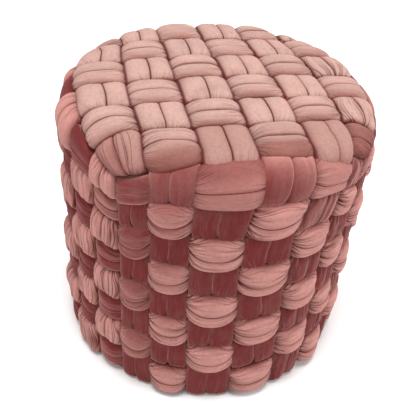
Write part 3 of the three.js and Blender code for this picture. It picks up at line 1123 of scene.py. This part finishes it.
def velvet_material():
    """Velvet whose colour is painted sheen and painted shade of the pile by its lie, painted
    paler on the top as painted light, with soft clouds where the pile has been brushed,
    painted shade in folds and seams, fine creases where the cloth is gathered, with painted
    shade and painted sheen in them, and a fine relief of fibres. A fine crease lies where a
    noise crosses zero."""
    material = plain_material("velvet", PILE_SHEEN_VELVET)
    tree = material.node_tree
    shader = tree.nodes["Principled BSDF"]
    shader.inputs["Specular IOR Level"].default_value = 0.1
    shader.inputs["Sheen Weight"].default_value = 0.09
    shader.inputs["Sheen Roughness"].default_value = 0.4
    shader.inputs["Sheen Tint"].default_value = SHEEN_TINT
    start = Socket(tree)
    painted_pile_tone = start.node("Attribute", {}, "Fac", attribute_name="painted_pile_tone")
    up = start.node("Attribute", {}, "Fac", attribute_name="up")
    painted_fold_shade = start.node("Attribute", {}, "Fac", attribute_name="painted_fold_shade")
    gather = start.node("Attribute", {}, "Fac", attribute_name="gather")
    cloth = start.node("Attribute", {}, "Vector", attribute_name="cloth")
    place = start.node("TexCoord", {}, "Object")

    block = cloth.scaled(BLOCK_WAVES).noise(1, 0)
    brushed = cloth.scaled(BRUSHED_WAVES).noise(1, 2)
    off_crease = CREASE_SHARPNESS * cloth.scaled(CREASE_WAVES).noise(1, 1).size()
    crease = (1 - off_crease.clipped()) ** CREASE_NARROWING * gather * CREASE_STRENGTH
    cloud = place.noise(CLOUDS, 1)
    grain = place.noise(GRAIN, 1)
    fibres = place.noise(FIBRES, 1)

    painted_pile_tone = (painted_pile_tone + CLOUD_TONE * cloud + BRUSHED_TONE * brushed + BLOCK_TONE * block).clipped()
    # Pale painted sheen and deep painted shade of the pile, both painted paler on the top as
    # painted light from above
    colour = up.mixed(PILE_SHEEN_VELVET, TOP_LIT_SHEEN_VELVET)
    colour = painted_pile_tone.mixed(colour, up.mixed(PILE_SHADE_VELVET, TOP_LIT_SHADE_VELVET))
    # Painted shade in folds, seams and fine creases, then painted sheen in the fine creases of
    # deep cloth
    colour = (painted_fold_shade + crease * (1 - painted_pile_tone) * CREASE_PAINTED_SHADE).clipped().mixed(colour, FOLD_SHADE_VELVET)
    colour = (crease * painted_pile_tone * CREASE_PAINTED_SHEEN).mixed(colour, PILE_SHEEN_VELVET)
    lightness = 1 + CLOUD_LIGHTNESS * cloud + BRUSHED_LIGHTNESS * brushed
    lightness = lightness + BLOCK_LIGHTNESS * block + GRAIN_LIGHTNESS * grain
    colour = colour.scaled(lightness)
    tree.links.new(colour.output, shader.inputs["Base Color"])

    height = brushed * (BRUSHED_RELIEF + GATHERED_RELIEF * gather)
    height = height - crease * CREASE_RELIEF + fibres * FIBRE_RELIEF
    bump = start.node("Bump", {"Height": height, "Distance": 1.0, "Strength": 0.9})
    tree.links.new(bump.output, shader.inputs["Normal"])
    return material


# The camera stands where the photograph was taken from, a little left of the front
CAMERA_AZIMUTH = math.radians(-15.35)
CAMERA_ELEVATION = math.radians(37.3)
CAMERA_ROLL = math.radians(5.27)
CAMERA_DISTANCE = 0.866
FOCAL_PIXELS = 635.6
CENTRE_PIXELS = (210.3, 196.1)
FRAME_PIXELS = 416
SENSOR_WIDTH_MM = 36

# The floor's half width and how far it lies below height 0, and the light from all sides
FLOOR_HALF = 6
FLOOR_DEPTH = 0.5 * MM
SOFT_LIGHT = 0.42


def add_camera():
    """Camera that looks at the middle of the pouf, turned about its own axis by the roll."""
    sideways, forwards = math.sin(CAMERA_AZIMUTH), math.cos(CAMERA_AZIMUTH)
    flat = math.cos(CAMERA_ELEVATION)
    back = Vector((sideways * flat, -forwards * flat, math.sin(CAMERA_ELEVATION)))
    level = Vector((forwards, sideways, 0))
    up = back.cross(level)
    right = math.cos(CAMERA_ROLL) * level + math.sin(CAMERA_ROLL) * up
    top = back.cross(right)
    data = bpy.data.cameras.new("camera")
    data.sensor_width = SENSOR_WIDTH_MM
    data.lens = SENSOR_WIDTH_MM * FOCAL_PIXELS / FRAME_PIXELS
    data.shift_x = (FRAME_PIXELS / 2 - CENTRE_PIXELS[0]) / FRAME_PIXELS
    data.shift_y = (CENTRE_PIXELS[1] - FRAME_PIXELS / 2) / FRAME_PIXELS
    camera = bpy.data.objects.new("camera", data)
    place = Vector((0, 0, HEIGHT / 2)) + back * CAMERA_DISTANCE
    turn = Matrix((right, top, back)).transposed().to_4x4()
    camera.matrix_world = Matrix.Translation(place) @ turn
    bpy.context.scene.collection.objects.link(camera)
    bpy.context.scene.camera = camera


def add_area_light(name, place, size, power):
    """A round lamp that shines at the middle of the pouf. Size in metres, power in watts."""
    data = bpy.data.lights.new(name, "AREA")
    data.shape = "DISK"
    data.size = size
    data.energy = power
    light = bpy.data.objects.new(name, data)
    light.location = place
    away = Vector(place) - Vector((0, 0, HEIGHT / 2))
    light.rotation_euler = away.to_track_quat("Z", "Y").to_euler()
    bpy.context.scene.collection.objects.link(light)


def add_floor():
    """A wide square floor, FLOOR_DEPTH below height 0."""
    square = np.array([[-1, -1, 0], [1, -1, 0], [1, 1, 0], [-1, 1, 0]])
    corners = square * FLOOR_HALF - [0, 0, FLOOR_DEPTH]
    floor = add_mesh("floor", corners, [[0, 1, 2, 3]])
    floor.data.materials.append(plain_material("floor", FLOOR))


def add_stage():
    """Soft light from all sides, a wide lamp above, a weak one at each side, and the floor."""
    world = bpy.data.worlds.new("studio")
    bpy.context.scene.world = world
    world.use_nodes = True
    world.node_tree.nodes["Background"].inputs["Color"].default_value = WHITE
    world.node_tree.nodes["Background"].inputs["Strength"].default_value = SOFT_LIGHT
    add_area_light("key", (-0.3, -0.5, 5.0), size=2.4, power=270)
    add_area_light("left", (-3.0, -1.0, 1.2), size=1.5, power=20)
    add_area_light("right", (3.0, -0.8, 1.2), size=1.5, power=50)
    add_floor()


velvet = velvet_material()
base_cloth = plain_material("base_cloth", BASE_CLOTH)
add_camera()
add_stage()
for number in range(STRIPS):
    add_lengthwise_strip(number)
    add_crosswise_strip(number)
for number in range(1, HOOPS + 1):
    add_hoop(number)
add_base()
bpy.context.scene.view_settings.view_transform = "Standard"
